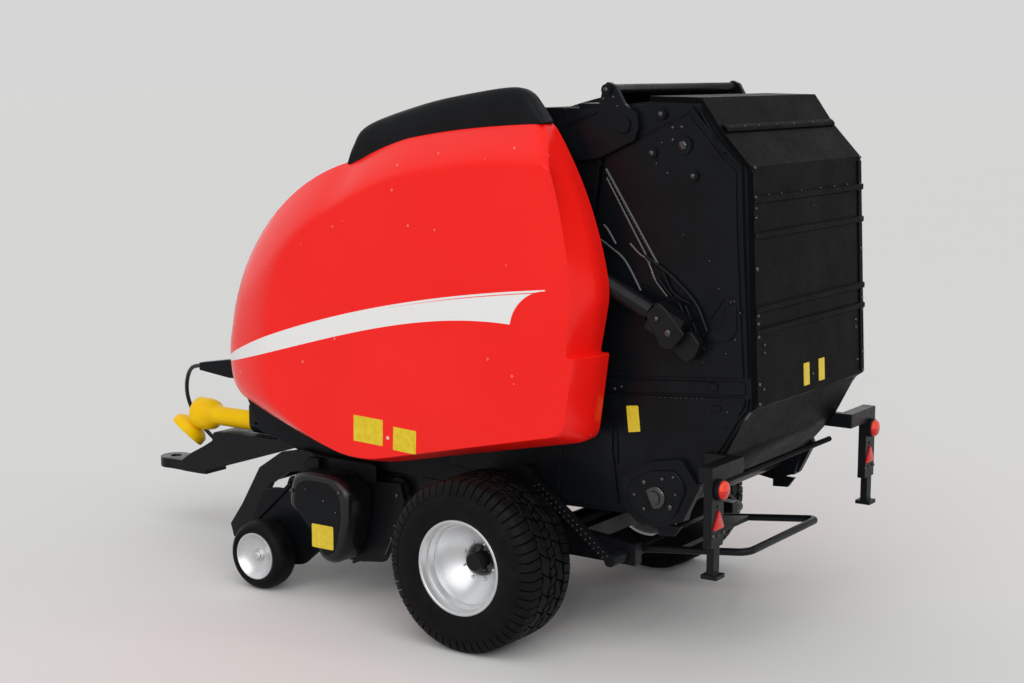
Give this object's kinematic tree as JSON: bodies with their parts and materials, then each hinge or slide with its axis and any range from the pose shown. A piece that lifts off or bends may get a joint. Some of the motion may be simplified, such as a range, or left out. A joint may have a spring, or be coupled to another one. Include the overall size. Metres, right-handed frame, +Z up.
{
  "type": "scale model of a round baler",
  "caption": "Farm-toy round baler with red side covers, a hinged tailgate worked by rams, a lifting pickup on gauge wheels, a drawbar and a drive shaft.",
  "frame": {"origin": "centre of the bounding box at the level of the ground", "axes": "+X towards the drawbar, +Y to the machine's left, +Z up"},
  "size_m": [0.1558, 0.078, 0.0971],
  "materials": {
    "cover_red": "gloss",
    "body_black": "satin",
    "trim_black": "matt",
    "frame_black": "satin",
    "rod_steel": "dark satin",
    "rim_silver": "metallic paint",
    "tyre": "matt",
    "shaft_yellow": "satin",
    "lamp_red": "gloss",
    "hose_black": "satin"
  },
  "bodies": {
    "frame": {"chassis_frame": "frame_black", "main_axle": "frame_black", "chamber_side_left": "body_black", "chamber_side_right": "body_black", "chamber_front": "body_black", "chamber_roller_lower": "body_black", "chamber_roller_front": "body_black", "hinge_frame": "frame_black", "drawbar": "frame_black", "pto_shaft": "shaft_yellow", "pto_cone": "shaft_yellow", "gearbox": "frame_black", "hose_holder": "frame_black", "hydraulic_hose": "hose_black", "hose_coupling": "frame_black", "side_cover_left": "cover_red", "side_cover_right": "cover_red", "cover_trim_left": "trim_black", "cover_trim_right": "trim_black", "cover_stays_left": "frame_black", "cover_stays_right": "frame_black", "cylinder_pin_left": "frame_black", "cylinder_pin_right": "frame_black", "bale_ramp": "frame_black", "ramp_strut_left": "frame_black", "ramp_strut_right": "frame_black"},
    "tailgate": {"tailgate_side_left": "body_black", "tailgate_side_right": "body_black", "tailgate_skin": "body_black", "tailgate_roller_lower": "body_black", "tailgate_roller_upper": "body_black", "light_bracket_left": "frame_black", "light_bracket_right": "frame_black", "rear_lamp_left": "lamp_red", "rear_lamp_right": "lamp_red"},
    "pickup": {"pickup_frame": "frame_black", "pickup_bands": "frame_black", "pickup_cover_left": "body_black", "pickup_cover_right": "body_black", "wind_guard": "frame_black"},
    "reel": {"pickup_reel": "rod_steel"},
    "barrel_left": {"cylinder_barrel_left": "frame_black"},
    "rod_left": {"cylinder_rod_left": "rod_steel"},
    "wheel_left": {"tyre_left": "tyre", "rim_left": "rim_silver"},
    "gauge_left": {"gauge_tyre_left": "tyre", "gauge_rim_left": "rim_silver"},
    "barrel_right": {"cylinder_barrel_right": "frame_black"},
    "rod_right": {"cylinder_rod_right": "rod_steel"},
    "wheel_right": {"tyre_right": "tyre", "rim_right": "rim_silver"},
    "gauge_right": {"gauge_tyre_right": "tyre", "gauge_rim_right": "rim_silver"}
  },
  "joints": [
    {"name": "tailgate_hinge", "type": "hinge", "parent": "frame", "child": "tailgate", "pos_m": [-0.0533, 0, 0.0902], "axis": [0, 1, 0], "range_deg": [0, 50]},
    {"name": "pickup_lift", "type": "hinge", "parent": "frame", "child": "pickup", "pos_m": [-0.0039, 0, 0.0216], "axis": [0, -1, 0], "range_deg": [0, 8]},
    {"name": "reel_spin", "type": "hinge", "parent": "pickup", "child": "reel", "pos_m": [0.0127, 0, 0.0146], "axis": [0, 1, 0], "continuous": true},
    {"name": "cylinder_turn_left", "type": "hinge", "parent": "frame", "child": "barrel_left", "pos_m": [-0.0339, 0.0242, 0.0725], "axis": [0, 1, 0], "range_deg": [0, 31.8]},
    {"name": "rod_slide_left", "type": "slide", "parent": "barrel_left", "child": "rod_left", "axis": [-0.9005, 0, -0.4349], "range_m": [0, 0.01805]},
    {"name": "wheel_left_spin", "type": "hinge", "parent": "frame", "child": "wheel_left", "pos_m": [-0.0309, 0.032, 0.0152], "axis": [0, 1, 0], "continuous": true},
    {"name": "gauge_left_spin", "type": "hinge", "parent": "pickup", "child": "gauge_left", "pos_m": [0.0239, 0.0272, 0.00665], "axis": [0, 1, 0], "continuous": true},
    {"name": "cylinder_turn_right", "type": "hinge", "parent": "frame", "child": "barrel_right", "pos_m": [-0.0339, -0.0242, 0.0725], "axis": [0, 1, 0], "range_deg": [0, 31.8]},
    {"name": "rod_slide_right", "type": "slide", "parent": "barrel_right", "child": "rod_right", "axis": [-0.9005, 0, -0.4349], "range_m": [0, 0.01805]},
    {"name": "wheel_right_spin", "type": "hinge", "parent": "frame", "child": "wheel_right", "pos_m": [-0.0309, -0.032, 0.0152], "axis": [0, 1, 0], "continuous": true},
    {"name": "gauge_right_spin", "type": "hinge", "parent": "pickup", "child": "gauge_right", "pos_m": [0.0239, -0.0272, 0.00665], "axis": [0, 1, 0], "continuous": true}
  ],
  "couplings": [
    {"joint": "cylinder_turn_left", "follows": "tailgate_hinge", "ratio": 0.62596},
    {"joint": "rod_slide_left", "follows": "tailgate_hinge", "m_per_rad": 0.020453},
    {"joint": "cylinder_turn_right", "follows": "tailgate_hinge", "ratio": 0.62596},
    {"joint": "rod_slide_right", "follows": "tailgate_hinge", "m_per_rad": 0.020453}
  ]
}
